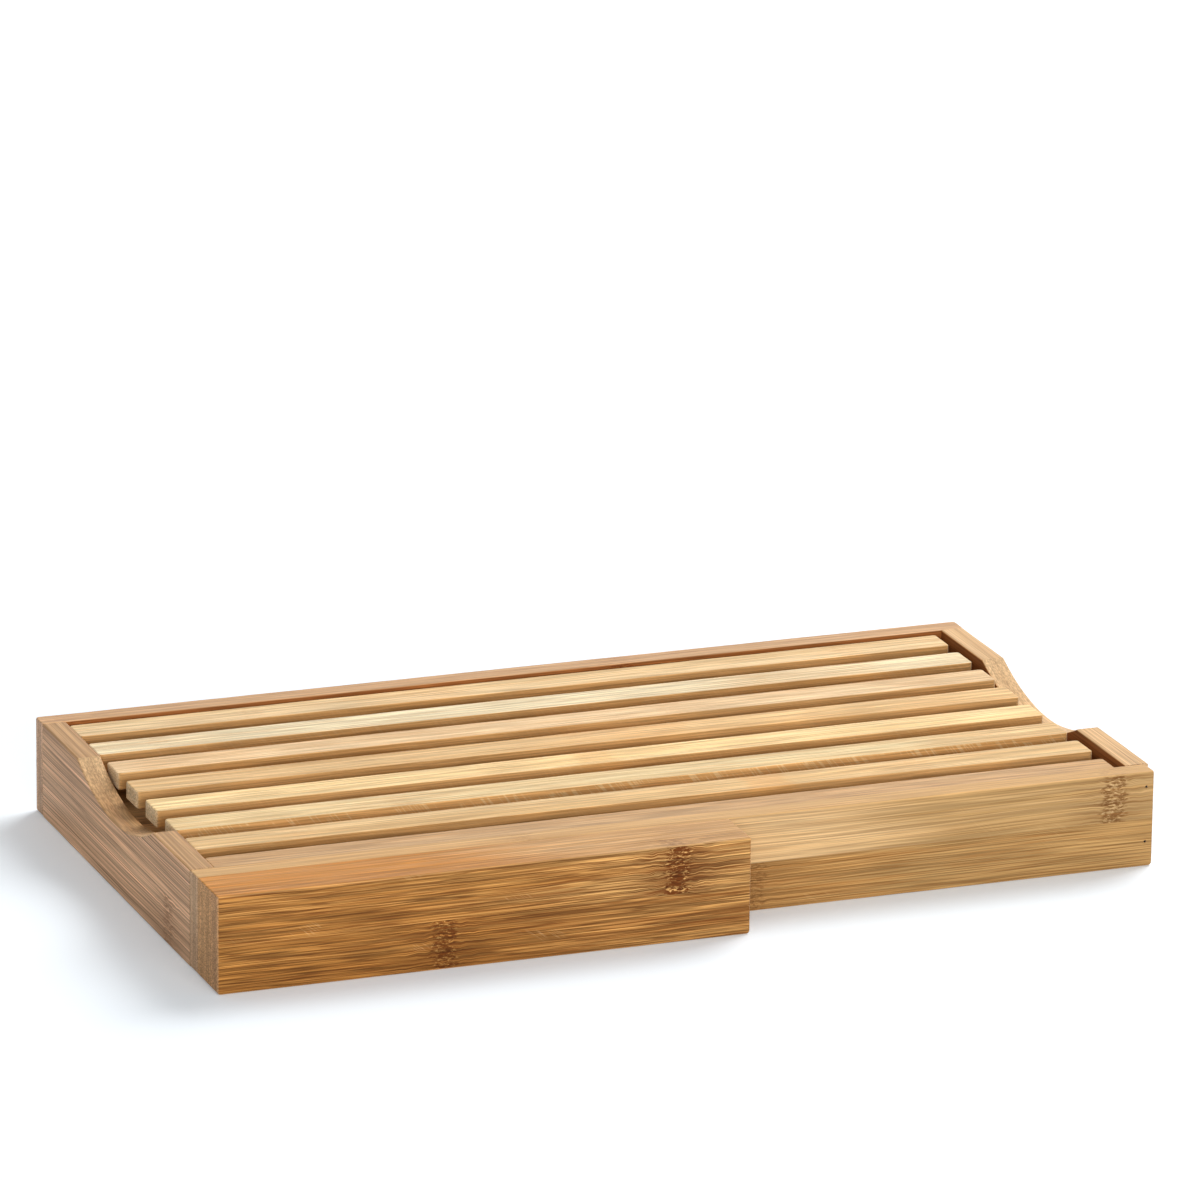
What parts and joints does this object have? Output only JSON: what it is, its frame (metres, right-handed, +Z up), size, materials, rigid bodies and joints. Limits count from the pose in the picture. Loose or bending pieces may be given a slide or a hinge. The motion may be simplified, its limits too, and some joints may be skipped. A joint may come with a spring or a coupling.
{
  "type": "bread board",
  "caption": "Low bamboo bread board: a slatted grid lifts out of a framed crumb tray with finger scoops in its sides and a knife block along part of its front.",
  "frame": {"origin": "middle of the bounding box at the underside, where the board stands on the table", "axes": "+X along the board's length with the knife block at the -X end, -Y towards the front where the knife block is, +Z up"},
  "size_m": [0.42, 0.2428, 0.0414],
  "materials": {
    "bamboo_slats": "satin, pale yellow-tan bamboo with long fibres",
    "bamboo_rails": "satin, honey-coloured bamboo laminated from two strips",
    "bamboo_block": "satin, orange-tan bamboo with dark nodes and fine streaks",
    "bamboo_sides": "satin, browner bamboo with fine fibre lines",
    "bamboo_battens": "matt bamboo",
    "bamboo_floor": "matt thin bamboo panel",
    "steel_pins": "plain steel wire"
  },
  "bodies": {
    "frame": {"front_rail": "bamboo_rails", "back_rail": "bamboo_rails", "left_side_board": "bamboo_sides", "right_side_board": "bamboo_sides", "crumb_floor": "bamboo_floor", "knife_block_cover": "bamboo_block", "knife_block_core": "bamboo_block", "nail_front_left_lower": "steel_pins", "nail_front_left_upper": "steel_pins", "nail_front_right_lower": "steel_pins", "nail_front_right_upper": "steel_pins", "nail_back_left_lower": "steel_pins", "nail_back_left_upper": "steel_pins", "nail_back_right_lower": "steel_pins", "nail_back_right_upper": "steel_pins"},
    "grid": {"slat_1": "bamboo_slats", "slat_2": "bamboo_slats", "slat_3": "bamboo_slats", "slat_4": "bamboo_slats", "slat_5": "bamboo_slats", "slat_6": "bamboo_slats", "slat_7": "bamboo_slats", "slat_8": "bamboo_slats", "batten_left": "bamboo_battens", "batten_middle": "bamboo_battens", "batten_right": "bamboo_battens", "brad_left_1": "steel_pins", "brad_left_2": "steel_pins", "brad_left_3": "steel_pins", "brad_left_4": "steel_pins", "brad_left_5": "steel_pins", "brad_left_6": "steel_pins", "brad_left_7": "steel_pins", "brad_left_8": "steel_pins", "brad_middle_1": "steel_pins", "brad_middle_2": "steel_pins", "brad_middle_3": "steel_pins", "brad_middle_4": "steel_pins", "brad_middle_5": "steel_pins", "brad_middle_6": "steel_pins", "brad_middle_7": "steel_pins", "brad_middle_8": "steel_pins", "brad_right_1": "steel_pins", "brad_right_2": "steel_pins", "brad_right_3": "steel_pins", "brad_right_4": "steel_pins", "brad_right_5": "steel_pins", "brad_right_6": "steel_pins", "brad_right_7": "steel_pins", "brad_right_8": "steel_pins"}
  },
  "joints": [
    {"name": "grid_lift", "type": "slide", "parent": "frame", "child": "grid", "axis": [0, 0, 1], "range_m": [0, 0.06]}
  ]
}
